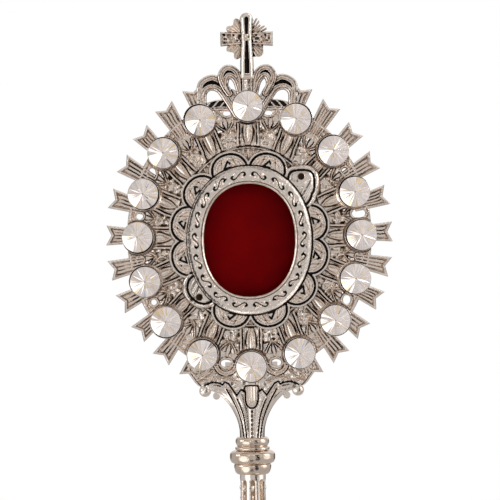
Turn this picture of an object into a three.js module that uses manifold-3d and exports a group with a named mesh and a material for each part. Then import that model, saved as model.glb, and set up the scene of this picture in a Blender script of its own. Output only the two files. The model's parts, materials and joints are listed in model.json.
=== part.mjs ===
// A table monstrance of silver-plated castings: a sunburst of ribbon rays set with sixteen pointed
// crystals, a glazed oval window in a petal frame, a rear case whose hinged door carries the velvet
// pad, a leaf-shaped socket, and a turned stem on a round foot, all held by one tie rod.
// Millimetres, +Z up, origin at the middle of the foot's underside. The front faces -Y.
import * as THREE from "three";
import { mergeVertices } from "three/addons/utils/BufferGeometryUtils.js";
import Module from "manifold-3d";

const wasm = await Module();
wasm.setup();

// Heights of the stacked pieces.
const HEIGHT = 200;
const STONES_Z = 140.1;
const WINDOW_Z = 139.1;
const FOOT_TOP_Z = 30;
const FOOT_COLLAR_TOP_Z = 33.5;
const NODE_TOP_Z = 43;
const SHAFT_TOP_Z = 76.5;
const LOWER_COLLAR_TOP_Z = 79.4;
const KNOP_TOP_Z = 82.8;
const UPPER_COLLAR_TOP_Z = 86.5;
const SOCKET_BORE_TOP_Z = 95.5;
const SOCKET_FRONT_TOP_Z = 100.8;
const SOCKET_TANG_TOP_Z = 108;

// The sunburst. Its back lies on y = 0.
const PLATE_T = 2.2;
const RAY_T = 2;
const RAYS_Z = 139.7;
const RAY_TIP = { a: 38.3, above: 44, below: 41.5 };
const RAYS_PER_SIDE = 11;
const FIRST_RAY_DEG = 22.9;
const RAY_STEP_DEG = 13.1;
const RAY_TIP_WIDTH = 5.4;
const RAY_ROOT_WIDTH = 3.7;
const RAY_LENGTH = 9.5;
const RAY_NOTCH = 1.4;
const RING_OUTER = { a: 32.7, b: 37.3 };
const PLATE_OPENING = { a: 15.5, b: 18.4 };

// The stones and the ring that they stand on.
const STONES = 16;
const STONE_RING = { a: 29.7, b: 34.7 };
const STONE_R = 4;
const STONE_SIDES = 16;
const STONE_CULET_R = 0.6;
const CUP_R = 4.45;
const CUP_WALL = 0.35;
const CUP_FLOOR = 0.5;
const CUP_H = 2.3;
const GIRDLE_T = 0.3;
const CROWN_H = 2;
const PIERCED_R = 0.75;

// The window, from front to back.
const PETALS = 12;
const PETAL_T = 1.8;
const PETAL_MIDDLES = { a: 16.6, b: 19.4 };
const PETAL_R = { across: 5.7, out: 5.4 };
const PETAL_OPENING = { a: 15, b: 18 };
const BEZEL_T = 1.8;
const BEZEL_OUTER = { a: 16.6, b: 19.75 };
const BEZEL_OPENING = { a: 12.15, b: 15 };
const GLASS = { a: 14.4, b: 17.4 };
const GLASS_T = 1;
const RETAINER_OUTER = { a: 14.6, b: 17.6 };
const RETAINER_OPENING = { a: 13.4, b: 16.4 };
const RETAINER_T = 0.8;
const RIVET_R = 0.6;
const RIVET_HEAD_R = 1;
const RIVET_HOLE_R = 0.8;
const RIVETS = [
  { name: "frame_rivet_upper", x: 14, above: 16.8 },
  { name: "frame_rivet_lower", x: -13.6, above: -15 },
];

// The rear case and its door.
const CASE_DEPTH = 5.5;
const CASE_OUTER = { a: 17.5, b: 20.5 };
const CASE_OPENING = { a: 16.3, b: 19.3 };
const DOOR_T = 1.2;
const DOOR_GAP = 0.1;
const PAD = { a: 14.2, b: 17.2 };
const PAD_BOARD_T = 1;
const PAD_FRONT_Y = -1.5;
const HINGE_X = -19;
const KNUCKLE_R = 1.2;
const KNUCKLE_BORE_R = 0.65;
const HINGE_PIN_R = 0.55;
const KNUCKLE_LENGTH = 3.2;
const KNUCKLE_GAP = 0.15;
const TAB_WIDTH = 6;
const TAB_REACH = 3;
const BUTTON = { x: 19, above: 8, length: 9.4, half: 1.3, thickness: 1, gap: 0.1 };
const BUTTON_BORE_R = 0.65;
const BUTTON_POST_R = 1.6;
const BUTTON_SCREW = { shank: 0.55, head: 1.2, headT: 0.5, length: 5 };

// The stem.
const ROD_R = 1.25;
const ROD_BORE_R = 1.6;
const FOOT_R = 36;
const NUT_R = 3.1;
const NUT_H = 2.4;
const WASHER_R = 3.8;
const WASHER_H = 0.6;
const FOOT_CEILING_Z = 25;
const NECK_R = 3.3;
const SCROLL_BALL = { x: 12.5, z: 99.2, r: 1.9 };

const OVAL_STEPS = 28;
const ROUND_STEPS = 40;
const SMALL_ROUND_STEPS = 12;

const silver = new THREE.MeshStandardMaterial({ color: 0xd9d4cc, roughness: 0.18, metalness: 1 });
const crystal = new THREE.MeshStandardMaterial({ color: 0xf2eeec, roughness: 0.02, metalness: 0 });
const glass = new THREE.MeshStandardMaterial({ color: 0xffffff, roughness: 0.03, metalness: 0 });
const velvet = new THREE.MeshStandardMaterial({ color: 0x6b0507, roughness: 0.9, metalness: 0 });
const card = new THREE.MeshStandardMaterial({ color: 0x4a3a2c, roughness: 0.8, metalness: 0 });
const steel = new THREE.MeshStandardMaterial({ color: 0x9a9a9c, roughness: 0.35, metalness: 1 });

const monstrance = new THREE.Group();

function radians(degrees) {
  return THREE.MathUtils.degToRad(degrees);
}

// A closed mesh as a manifold-3d solid, and back.
function solidOf(geometry) {
  const bare = geometry.clone();
  bare.deleteAttribute("normal");
  bare.deleteAttribute("uv");
  const merged = mergeVertices(bare, 1e-4);
  return new wasm.Manifold(
    new wasm.Mesh({
      numProp: 3,
      vertProperties: new Float32Array(merged.attributes.position.array),
      triVerts: new Uint32Array(merged.index.array),
    }),
  );
}

function geometryOf(solid) {
  const mesh = solid.getMesh();
  const geometry = new THREE.BufferGeometry();
  geometry.setAttribute("position", new THREE.BufferAttribute(mesh.vertProperties, 3));
  geometry.setIndex(new THREE.BufferAttribute(mesh.triVerts, 1));
  geometry.computeVertexNormals();
  return geometry;
}

function join(pieces) {
  return pieces.map(solidOf).reduce((whole, piece) => whole.add(piece));
}

function cut(solid, tools) {
  return tools.map(solidOf).reduce((left, tool) => left.subtract(tool), solid);
}

function add(name, geometry, material) {
  const mesh = new THREE.Mesh(geometry, material);
  mesh.name = name;
  monstrance.add(mesh);
  return mesh;
}

// The point of an ellipse that is seen from its middle at an angle from the top towards +X.
function onOval({ a, b }, degrees, z) {
  const [across, up] = [Math.sin(radians(degrees)), Math.cos(radians(degrees))];
  const reach = (a * b) / Math.hypot(b * across, a * up);
  return new THREE.Vector2(reach * across, z + reach * up);
}

function oval({ a, b }, z, x = 0, tilt = 0) {
  return new THREE.Shape().absellipse(x, z, a, b, 0, 2 * Math.PI, false, radians(tilt));
}

// A flat piece: a shape drawn in X and Z, from y = back forwards by its thickness.
function plate(shape, back, thickness, steps = OVAL_STEPS) {
  const geometry = new THREE.ExtrudeGeometry(shape, {
    depth: thickness,
    bevelEnabled: false,
    curveSegments: steps,
  });
  geometry.rotateX(Math.PI / 2);
  geometry.translate(0, back, 0);
  return geometry;
}

function ovalRing(outer, opening, z, back, thickness, steps = OVAL_STEPS) {
  const shape = oval(outer, z);
  shape.holes.push(oval(opening, z));
  return plate(shape, back, thickness, steps);
}

// A turned piece about the stem's axis, from [radius, height] points listed from the bottom outside
// upwards and closing down the inside.
function turned(points, steps = ROUND_STEPS) {
  const profile = points.map(([r, z]) => new THREE.Vector2(r, z));
  profile.push(profile[0].clone());
  const geometry = new THREE.LatheGeometry(profile, steps);
  geometry.rotateX(Math.PI / 2);
  return geometry;
}

// A round pin or hole along Y.
function pinAlongY(r, x, z, back, front, steps = SMALL_ROUND_STEPS) {
  const geometry = new THREE.CylinderGeometry(r, r, back - front, steps);
  geometry.translate(x, (back + front) / 2, z);
  return geometry;
}

// The two holes that the petal frame's rivets pass through.
function rivetHoles(back, front) {
  return RIVETS.map(({ x, above }) =>
    pinAlongY(RIVET_HOLE_R, x, WINDOW_Z + above, back, front),
  );
}

function box(x0, x1, y0, y1, z0, z1) {
  const geometry = new THREE.BoxGeometry(x1 - x0, y1 - y0, z1 - z0);
  geometry.translate((x0 + x1) / 2, (y0 + y1) / 2, (z0 + z1) / 2);
  return geometry;
}

// ---- The sunburst casting ----

// A ribbon ray with a swallow-tailed end, pointing away from the middle of the rays.
function ray(degrees) {
  const [across, up] = [Math.sin(radians(degrees)), Math.cos(radians(degrees))];
  const tip = new THREE.Vector2(RAY_TIP.a * across, up * (up > 0 ? RAY_TIP.above : RAY_TIP.below));
  const out = tip.clone().normalize();
  const side = new THREE.Vector2(-out.y, out.x);
  const corner = (along, sideways) =>
    tip
      .clone()
      .addScaledVector(out, along)
      .addScaledVector(side, sideways)
      .add(new THREE.Vector2(0, RAYS_Z));
  const outline = new THREE.Shape([
    corner(-RAY_LENGTH, RAY_ROOT_WIDTH / 2),
    corner(0, RAY_TIP_WIDTH / 2),
    corner(-RAY_NOTCH, 0),
    corner(0, -RAY_TIP_WIDTH / 2),
    corner(-RAY_LENGTH, -RAY_ROOT_WIDTH / 2),
  ]);
  return plate(outline, 0, RAY_T);
}

// The crown of ribbon loops under the cross: a small and a large one on each side.
const CROWN_LOOPS = [
  { x: 4.35, z: 181, a: 3.1, b: 4.6, tilt: -17, hole: { x: 3.95, z: 180.6, a: 1.1, b: 1.75 } },
  { x: 8.7, z: 178.7, a: 5.4, b: 4, tilt: 40, hole: { x: 8.8, z: 178, a: 2.1, b: 1.6 } },
];
const CROWN_POST = { half: 1.9, z0: 172, z1: 183 };

function crownPieces() {
  const pieces = [
    box(-CROWN_POST.half, CROWN_POST.half, -PLATE_T, 0, CROWN_POST.z0, CROWN_POST.z1),
  ];
  for (const loop of CROWN_LOOPS)
    for (const side of [-1, 1])
      pieces.push(plate(oval(loop, loop.z, side * loop.x, side * loop.tilt), 0, PLATE_T, 12));
  return pieces;
}

function crownHoles() {
  return CROWN_LOOPS.flatMap(({ hole }) =>
    [-1, 1].map((side) => plate(oval(hole, hole.z, side * hole.x), 1, PLATE_T + 2, 6)),
  );
}

// Small holes pierced between neighbouring stones, except where the web is left whole.
const WHOLE_GAPS = [1, 6, 9, 14];

function piercedHoles() {
  const holes = [];
  for (let i = 0; i < STONES; i++) {
    if (WHOLE_GAPS.includes(i)) continue;
    const at = onOval(STONE_RING, ((i + 0.5) * 360) / STONES, STONES_Z);
    holes.push(pinAlongY(PIERCED_R, at.x, at.y, 1, -PLATE_T - 1, 8));
  }
  return holes;
}

function sunburst() {
  const web = oval(RING_OUTER, STONES_Z);
  web.holes.push(oval(PLATE_OPENING, WINDOW_Z));
  const pieces = [plate(web, 0, PLATE_T), ...crownPieces()];
  for (let k = 0; k < RAYS_PER_SIDE; k++) {
    const degrees = FIRST_RAY_DEG + k * RAY_STEP_DEG;
    pieces.push(ray(degrees), ray(-degrees));
  }
  return cut(join(pieces), [...crownHoles(), ...piercedHoles(), ...rivetHoles(1, -PLATE_T - 1)]);
}

add("sunburst", geometryOf(sunburst()), silver);

// ---- The cross, standing on the crown ----

const CROSS = {
  half: 1.7,
  foot: 183.3,
  armHalf: 6.9,
  armHalfHeight: 2.05,
  armZ: 193,
  back: -0.2,
  thickness: 2.2,
};

function crossFinial() {
  const { half, foot, armHalf, armHalfHeight, armZ, back, thickness } = CROSS;
  const upright = box(-half, half, back - thickness, back, foot, HEIGHT);
  const arms = box(
    -armHalf,
    armHalf,
    back - thickness + 0.2,
    back,
    armZ - armHalfHeight,
    armZ + armHalfHeight,
  );
  const pieces = [upright, arms];
  const glimmers = 12;
  for (let i = 0; i < glimmers; i++) {
    const beam = box(0, 6, back - 1, back, -0.5, 0.5);
    beam.rotateY(radians((360 * (i + 0.5)) / glimmers));
    beam.translate(0, 0, armZ);
    pieces.push(beam);
  }
  return join(pieces);
}

add("cross", geometryOf(crossFinial()), silver);

// ---- Stones in their cups ----

// A thin-walled cup that stands on the sunburst, open to the front.
function cup() {
  const wall = CUP_R - CUP_WALL;
  const profile = [
    [0, -CUP_FLOOR],
    [0, 0],
    [CUP_R, 0],
    [CUP_R, -CUP_H],
    [wall, -CUP_H],
    [wall, -CUP_FLOOR],
    [0, -CUP_FLOOR],
  ].map(([r, y]) => new THREE.Vector2(r, y));
  return new THREE.LatheGeometry(profile.reverse(), 20);
}

// A pointed stone: a faceted cone in front of its girdle, and a blunt one behind.
function stone() {
  const girdle = -CUP_H + GIRDLE_T;
  const profile = [
    [0, -CUP_FLOOR - 0.05],
    [STONE_CULET_R, -CUP_FLOOR - 0.05],
    [STONE_R, girdle],
    [STONE_R, girdle - GIRDLE_T],
    [0, girdle - GIRDLE_T - CROWN_H],
  ].map(([r, y]) => new THREE.Vector2(r, y));
  return new THREE.LatheGeometry(profile.reverse(), STONE_SIDES);
}

const cupGeometry = cup();
const stoneGeometry = stone();
for (let i = 0; i < STONES; i++) {
  const at = onOval(STONE_RING, (i * 360) / STONES, STONES_Z);
  const number = String(i + 1).padStart(2, "0");
  add("crystal_cup_" + number, cupGeometry, silver).position.set(at.x, -PLATE_T, at.y);
  add("crystal_" + number, stoneGeometry, crystal).position.set(at.x, -PLATE_T, at.y);
}

// ---- The window ----

// Twelve rounded petals round an oval opening.
function petalFrame() {
  const back = -PLATE_T;
  const pieces = [plate(oval(PETAL_MIDDLES, WINDOW_Z), back, PETAL_T)];
  for (let i = 0; i < PETALS; i++) {
    const degrees = (360 * (i + 0.5)) / PETALS;
    const at = onOval(PETAL_MIDDLES, degrees, WINDOW_Z);
    const lean = THREE.MathUtils.radToDeg(Math.atan2(at.x, at.y - WINDOW_Z));
    const petal = { a: PETAL_R.across, b: PETAL_R.out };
    pieces.push(plate(oval(petal, at.y, at.x, -lean), back, PETAL_T, 10));
  }
  const opening = plate(oval(PETAL_OPENING, WINDOW_Z), back + 1, PETAL_T + 2);
  return cut(join(pieces), [opening, ...rivetHoles(0, back - PETAL_T - 1)]);
}

add("petal_frame", geometryOf(petalFrame()), silver);

const PETAL_FRONT = -PLATE_T - PETAL_T;
add(
  "window_bezel",
  ovalRing(BEZEL_OUTER, BEZEL_OPENING, WINDOW_Z, PETAL_FRONT, BEZEL_T),
  silver,
);
add("window_glass", plate(oval(GLASS, WINDOW_Z), PETAL_FRONT + GLASS_T, GLASS_T), glass);
add(
  "glass_retainer",
  ovalRing(
    RETAINER_OUTER,
    RETAINER_OPENING,
    WINDOW_Z,
    PETAL_FRONT + GLASS_T + RETAINER_T,
    RETAINER_T,
  ),
  silver,
);

// Two rivets hold the petal frame to the sunburst.
for (const { name, x, above } of RIVETS) {
  const z = WINDOW_Z + above;
  const shank = pinAlongY(RIVET_R, x, z, 0.2, PETAL_FRONT + 0.3);
  const head = pinAlongY(RIVET_HEAD_R, x, z, 0.8, 0.1);
  add(name, geometryOf(join([shank, head])), silver);
}

// ---- The rear case and its door ----

const DOOR_BACK = CASE_DEPTH + DOOR_GAP + DOOR_T;
const HINGE_Y = DOOR_BACK - DOOR_T / 2;

// A barrel round the hinge's axis, between two heights.
function knuckle(z0, z1) {
  const profile = [
    [KNUCKLE_BORE_R, z0],
    [KNUCKLE_R, z0],
    [KNUCKLE_R, z1],
    [KNUCKLE_BORE_R, z1],
  ];
  const geometry = turned(profile, SMALL_ROUND_STEPS);
  geometry.translate(HINGE_X, HINGE_Y, 0);
  return geometry;
}

const MIDDLE_KNUCKLE = {
  z0: WINDOW_Z - KNUCKLE_LENGTH / 2,
  z1: WINDOW_Z + KNUCKLE_LENGTH / 2,
};

function hingeBore() {
  const reach = 2 * KNUCKLE_LENGTH;
  const bore = new THREE.CylinderGeometry(KNUCKLE_BORE_R, KNUCKLE_BORE_R, 2 * reach, 12);
  bore.rotateX(Math.PI / 2);
  bore.translate(HINGE_X, HINGE_Y, WINDOW_Z);
  return bore;
}

function rearCase() {
  const wall = ovalRing(CASE_OUTER, CASE_OPENING, WINDOW_Z, CASE_DEPTH, CASE_DEPTH);
  const upper = MIDDLE_KNUCKLE.z1 + KNUCKLE_GAP;
  const lower = MIDDLE_KNUCKLE.z0 - KNUCKLE_GAP;
  const leafFront = HINGE_Y - KNUCKLE_R;
  const leafBack = CASE_DEPTH - 0.1;
  const pieces = [wall];
  for (const [z0, z1] of [[upper, upper + KNUCKLE_LENGTH], [lower - KNUCKLE_LENGTH, lower]]) {
    pieces.push(knuckle(z0, z1));
    pieces.push(box(HINGE_X - 0.4, -CASE_OPENING.a - 0.1, leafFront - 0.6, leafBack, z0, z1));
  }
  const { x, above } = BUTTON;
  const z = WINDOW_Z + above;
  const arm = box(CASE_OPENING.a - 1, x, 0, leafBack, z - 1.2, z + 1.2);
  pieces.push(arm, pinAlongY(BUTTON_POST_R, x, z, DOOR_BACK, 0, 16));
  const buttonBore = pinAlongY(BUTTON_BORE_R, x, z, DOOR_BACK + 1, DOOR_BACK - BUTTON_SCREW.length);
  return cut(join(pieces), [hingeBore(), buttonBore]);
}

function rearDoor() {
  const { z0, z1 } = MIDDLE_KNUCKLE;
  const front = DOOR_BACK - DOOR_T;
  const leaf = box(HINGE_X, -CASE_OUTER.a + 1, front, DOOR_BACK, z0, z1);
  const tab = box(
    CASE_OUTER.a - 1,
    CASE_OUTER.a + TAB_REACH,
    front,
    DOOR_BACK,
    WINDOW_Z - TAB_WIDTH / 2,
    WINDOW_Z + TAB_WIDTH / 2,
  );
  const pieces = [plate(oval(CASE_OUTER, WINDOW_Z), DOOR_BACK, DOOR_T), leaf, tab, knuckle(z0, z1)];
  return cut(join(pieces), [hingeBore()]);
}

add("rear_case", geometryOf(rearCase()), silver);
add("rear_door", geometryOf(rearDoor()), silver);

const pin = new THREE.CylinderGeometry(HINGE_PIN_R, HINGE_PIN_R, 3.4 * KNUCKLE_LENGTH, 12);
pin.rotateX(Math.PI / 2);
pin.translate(HINGE_X, HINGE_Y, WINDOW_Z);
add("hinge_pin", pin, steel);

// The velvet pad sits on a card glued inside the door, and turns with it.
const BOARD_BACK = DOOR_BACK - DOOR_T;
const PAD_BACK = BOARD_BACK - PAD_BOARD_T;
add("pad_board", plate(oval(PAD, WINDOW_Z), BOARD_BACK, PAD_BOARD_T), card);
add("velvet_pad", plate(oval(PAD, WINDOW_Z), PAD_BACK, PAD_BACK - PAD_FRONT_Y), velvet);

// The turn button, lying clear of the door; turned down it lies over the door's tab.
function turnButton() {
  const { x, above, length, half, thickness, gap } = BUTTON;
  const z = WINDOW_Z + above;
  const back = DOOR_BACK + gap + thickness;
  const bar = box(x, x + length - half, back - thickness, back, z - half, z + half);
  const ends = [x, x + length - half].map((end) =>
    pinAlongY(half, end, z, back, back - thickness, 16),
  );
  return cut(join([bar, ...ends]), [pinAlongY(BUTTON_BORE_R, x, z, back + 1, back - 2)]);
}

function turnButtonScrew() {
  const { x, above, thickness, gap } = BUTTON;
  const z = WINDOW_Z + above;
  const seat = DOOR_BACK + 2 * gap + thickness;
  const { shank, head, headT, length } = BUTTON_SCREW;
  return join([
    pinAlongY(shank, x, z, seat + 0.1, DOOR_BACK - length + 0.5),
    pinAlongY(head, x, z, seat + headT, seat, 16),
  ]);
}

add("turn_button", geometryOf(turnButton()), silver);
add("turn_button_screw", geometryOf(turnButtonScrew()), steel);

// ---- The leaf socket between the sunburst and the stem ----

// The socket's flared outline, with a ball at the end of each scroll.
function socketOutline(top) {
  const { x, z } = SCROLL_BALL;
  const shape = new THREE.Shape();
  shape.moveTo(-x, top);
  shape.lineTo(-x, z);
  shape.bezierCurveTo(-x * 0.55, z - 1.5, -NECK_R - 0.6, UPPER_COLLAR_TOP_Z + 5, -NECK_R,
    UPPER_COLLAR_TOP_Z);
  shape.lineTo(NECK_R, UPPER_COLLAR_TOP_Z);
  shape.bezierCurveTo(NECK_R + 0.6, UPPER_COLLAR_TOP_Z + 5, x * 0.55, z - 1.5, x, z);
  shape.lineTo(x, top);
  return shape;
}

function leafSocket() {
  const tangHalf = 7;
  const flare = plate(socketOutline(SOCKET_FRONT_TOP_Z), 1.6, 1.6 + PLATE_T);
  const tang = box(-tangHalf, tangHalf, 0, 1.6, SOCKET_FRONT_TOP_Z - 2, SOCKET_TANG_TOP_Z);
  const barrel = turned([
    [0, UPPER_COLLAR_TOP_Z],
    [NECK_R, UPPER_COLLAR_TOP_Z],
    [NECK_R - 0.4, SOCKET_FRONT_TOP_Z - 5],
    [0, SOCKET_FRONT_TOP_Z],
  ], 24);
  const balls = [-1, 1].map((side) => {
    const ball = new THREE.SphereGeometry(SCROLL_BALL.r, 12, 8);
    ball.translate(side * SCROLL_BALL.x, -0.5, SCROLL_BALL.z - 0.2);
    return ball;
  });
  const bore = turned([
    [0, UPPER_COLLAR_TOP_Z - 1],
    [ROD_BORE_R, UPPER_COLLAR_TOP_Z - 1],
    [ROD_BORE_R, SOCKET_BORE_TOP_Z],
    [0, SOCKET_BORE_TOP_Z],
  ], 16);
  return cut(join([flare, tang, barrel, ...balls]), [bore]);
}

add("leaf_socket", geometryOf(leafSocket()), silver);

// ---- The stem, its knop and the foot, threaded on the tie rod ----

// A turned bead with a bore for the tie rod, from its outer [radius, height] points upwards.
function bead(outer, steps = ROUND_STEPS) {
  const bottom = outer[0][1];
  const top = outer[outer.length - 1][1];
  return turned([...outer, [ROD_BORE_R, top], [ROD_BORE_R, bottom]], steps);
}

// The outer points of a rounded ring between two heights, swelling from its edge radius.
function roundedRing(z0, z1, edge, swell, steps = 6) {
  return Array.from({ length: steps + 1 }, (_, i) => {
    const t = (Math.PI * i) / steps;
    return [edge + swell * Math.sin(t), z0 + ((z1 - z0) * (1 - Math.cos(t))) / 2];
  });
}

add("knop_upper_collar", bead(roundedRing(KNOP_TOP_Z, UPPER_COLLAR_TOP_Z, 4.1, 0.6)), silver);
add("knop", bead(roundedRing(LOWER_COLLAR_TOP_Z, KNOP_TOP_Z, 4.9, 1)), silver);
add("knop_lower_collar", bead(roundedRing(SHAFT_TOP_Z, LOWER_COLLAR_TOP_Z, 4, 0.7)), silver);
add(
  "stem_shaft",
  bead([[4.5, NODE_TOP_Z], [4.1, NODE_TOP_Z + 8], [3.6, SHAFT_TOP_Z - 12], [3.45, SHAFT_TOP_Z]], 24),
  silver,
);
add("stem_node", bead(roundedRing(FOOT_COLLAR_TOP_Z, NODE_TOP_Z, 3.8, 3.6, 8)), silver);
add("foot_collar", bead(roundedRing(FOOT_TOP_Z, FOOT_COLLAR_TOP_Z, 4.6, 0.9)), silver);

// The hollow round foot: a stepped rim, a swelling dome and a bell-shaped neck.
const FOOT_OUTSIDE = [
  [FOOT_R, 0],
  [FOOT_R, 2],
  [FOOT_R - 1, 3],
  [FOOT_R - 3.4, 3.4],
  [FOOT_R - 4.2, 5],
  [FOOT_R - 6, 7.4],
  [FOOT_R - 10, 10.2],
  [FOOT_R - 15, 12.4],
  [15.2, 14.8],
  [10.6, 17.6],
  [7.6, 21.6],
  [6.2, 26],
  [5.6, FOOT_TOP_Z],
];
const FOOT_INSIDE = [
  [ROD_BORE_R, FOOT_TOP_Z],
  [ROD_BORE_R, FOOT_CEILING_Z],
  [4.3, FOOT_CEILING_Z],
  [5.8, 21],
  [9, 16.4],
  [14.4, 13],
  [20.4, 10.4],
  [25, 8.4],
  [28.6, 6],
  [30.6, 3.6],
  [32.4, 1.6],
  [32.6, 0],
];
add("foot", turned([...FOOT_OUTSIDE, ...FOOT_INSIDE], 56), silver);

// The tie rod, with its washer and nut up inside the foot.
const WASHER_Z = FOOT_CEILING_Z - WASHER_H;
const NUT_Z = WASHER_Z - NUT_H;
const rod = new THREE.CylinderGeometry(ROD_R, ROD_R, SOCKET_BORE_TOP_Z - 0.5 - NUT_Z + 1.5, 12);
rod.rotateX(Math.PI / 2);
rod.translate(0, 0, (SOCKET_BORE_TOP_Z - 0.5 + NUT_Z - 1.5) / 2);
add("tie_rod", rod, steel);
add(
  "tie_rod_washer",
  turned([
    [ROD_BORE_R, WASHER_Z],
    [WASHER_R, WASHER_Z],
    [WASHER_R, WASHER_Z + WASHER_H],
    [ROD_BORE_R, WASHER_Z + WASHER_H],
  ], 20),
  steel,
);
add(
  "tie_rod_nut",
  turned([[ROD_BORE_R, NUT_Z], [NUT_R, NUT_Z], [NUT_R, NUT_Z + NUT_H], [ROD_BORE_R, NUT_Z + NUT_H]], 6),
  steel,
);

export default monstrance;
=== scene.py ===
"""The looks of the monstrance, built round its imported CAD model. Reliefs are worked out in
millimetres on a grid in X and Z and become meshes in metres. The front faces -Y."""

import json
import math

import bpy
import numpy as np
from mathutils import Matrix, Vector
from mathutils.geometry import delaunay_2d_cdt
from numpy import hypot, interp, maximum, minimum, where


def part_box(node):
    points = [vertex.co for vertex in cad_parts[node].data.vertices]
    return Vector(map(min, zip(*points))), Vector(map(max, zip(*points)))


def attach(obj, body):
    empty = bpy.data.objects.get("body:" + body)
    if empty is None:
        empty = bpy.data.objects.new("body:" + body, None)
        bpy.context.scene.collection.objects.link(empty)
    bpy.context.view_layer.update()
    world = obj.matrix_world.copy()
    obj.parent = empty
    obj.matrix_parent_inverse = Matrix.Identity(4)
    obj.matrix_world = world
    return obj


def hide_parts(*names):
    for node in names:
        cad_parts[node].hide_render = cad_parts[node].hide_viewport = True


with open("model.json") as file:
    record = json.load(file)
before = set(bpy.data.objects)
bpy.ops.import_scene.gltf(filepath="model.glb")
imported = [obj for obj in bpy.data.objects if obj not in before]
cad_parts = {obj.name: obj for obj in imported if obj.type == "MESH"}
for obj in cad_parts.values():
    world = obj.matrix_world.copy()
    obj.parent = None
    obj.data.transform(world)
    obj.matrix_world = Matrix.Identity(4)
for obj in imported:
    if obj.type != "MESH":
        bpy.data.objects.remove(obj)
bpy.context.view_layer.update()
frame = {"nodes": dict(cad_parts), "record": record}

MM = 0.001
SEED = 7
STONES_Z = 140.1
WINDOW_Z = 139.1
RAYS_Z = 139.7
PLATE_T = 2.2
PETAL_FRONT = 4.0
FLOOR_COLOUR = (0.93, 0.925, 0.92, 1)


# ---- outlines and profiles


def unit(values):
    return np.clip(values, 0, 1)


def least(*values):
    return np.min(values, axis=0)


def most(*values):
    return np.max(values, axis=0)


def columns(*values):
    return np.stack(values, 1)


def oval(x, z, a, b, cx=0.0, cz=WINDOW_Z, power=2.0):
    """How deep each place lies inside an oval, in mm, negative outside."""
    u, v = abs(x - cx) / a, abs(z - cz) / b
    f = maximum((u**power + v**power) ** (1 / power), 1e-6)
    slope = hypot(u ** (power - 1) / a, v ** (power - 1) / b) / f ** (power - 1)
    return (1 - f) / maximum(slope, 1e-6)


def smooth_line(points, parts=6):
    """A smooth line through points, as many short pieces."""
    p = np.array(points, float)
    p = np.vstack([2 * p[0] - p[1], p, 2 * p[-1] - p[-2]])
    t = np.linspace(0, 1, parts, endpoint=False)[:, None]
    out = [0.5 * (2 * b + (c - a) * t + (2 * a - 5 * b + 4 * c - d) * t**2
                  + (3 * b - a - 3 * c + d) * t**3)
           for a, b, c, d in zip(p, p[1:], p[2:], p[3:])]
    return np.vstack([*out, p[-2:-1]])


def stroke(points, halves, parts=6):
    """A smooth line, with its half width at each place from values spread evenly along it."""
    line = smooth_line(points, parts)
    share = np.linspace(0, len(halves) - 1, len(line))
    return line, interp(share, range(len(halves)), halves)


def band(x, z, line, half):
    """How deep each place lies inside a round-ended band along a line; half may vary along it."""
    line = np.asarray(line, float)
    half = np.broadcast_to(half, len(line)).astype(float)
    reach = half.max() + 1.5
    out = np.full(x.shape, -9.0)
    (x0, z0), (x1, z1) = line.min(0) - reach, line.max(0) + reach
    here = (x > x0) & (x < x1) & (z > z0) & (z < z1)
    px, pz = x[here], z[here]
    best = np.full(px.shape, -9.0)
    for (ax, az), (bx, bz), ha, hb in zip(line, line[1:], half, half[1:]):
        dx, dz = bx - ax, bz - az
        t = unit(((px - ax) * dx + (pz - az) * dz) / max(dx * dx + dz * dz, 1e-9))
        best = maximum(best, ha + (hb - ha) * t - hypot(px - ax - t * dx, pz - az - t * dz))
    out[here] = best
    return out


def lay(heights, depth, *profile, only=True):
    """Lays a feature over the heights: its profile is a list of (depth inside, height)."""
    at, h = zip(*profile)
    return where((depth > at[0]) & only, interp(depth, at, h), heights)


def carved(distance, half, deep, side=0.1):
    """How much a flat-bottomed line takes off at a distance from its middle."""
    return deep * unit((half + side - distance) / side)


def reach_of(a, b, across, up):
    """How far an ellipse reaches in a direction."""
    return a * b / hypot(b * across, a * up)


def ring_point(axes, degrees, cz):
    """The point of an ellipse at an angle from its top."""
    across, up = math.sin(math.radians(degrees)), math.cos(math.radians(degrees))
    r = reach_of(*axes, across, up)
    return r * across, cz + r * up


def soften(values, cells):
    """Blurs a grid with three running means each way."""
    size = 2 * cells + 1
    for _ in range(6):
        run = np.cumsum(np.pad(values, [(cells + 1, cells), (0, 0)], mode="edge"), axis=0)
        values = ((run[size:] - run[:-size]) / size).T
    return values


def between(table, i, j, s, t):
    """The value between four neighbours in a table, which repeats itself past its edges."""
    a, b, c, d = (table[(i + k) % len(table), (j + m) % len(table[0])]
                  for m in (0, 1) for k in (0, 1))
    return (a * (1 - s) + b * s) * (1 - t) + (c * (1 - s) + d * s) * t


def grain(x, z, size, seed=0):
    """Smooth random hills between 0 and 1, about size across."""
    u, v = np.asarray(x) / size + 300, np.asarray(z) / size + 300
    i, j = np.floor(u).astype(int), np.floor(v).astype(int)
    s, t = u - i, v - j
    return between(np.random.default_rng(SEED + seed).random((64, 64)), i, j,
                   s * s * (3 - 2 * s), t * t * (3 - 2 * t))


# ---- meshes


def new_object(name, data):
    obj = bpy.data.objects.new(name, data)
    bpy.context.scene.collection.objects.link(obj)
    return obj


def new_mesh(name, verts, faces, scale, material):
    mesh = bpy.data.meshes.new(name)
    mesh.from_pydata((np.asarray(verts) * scale).tolist(), [], faces)
    mesh.materials.append(material)
    return mesh


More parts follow.
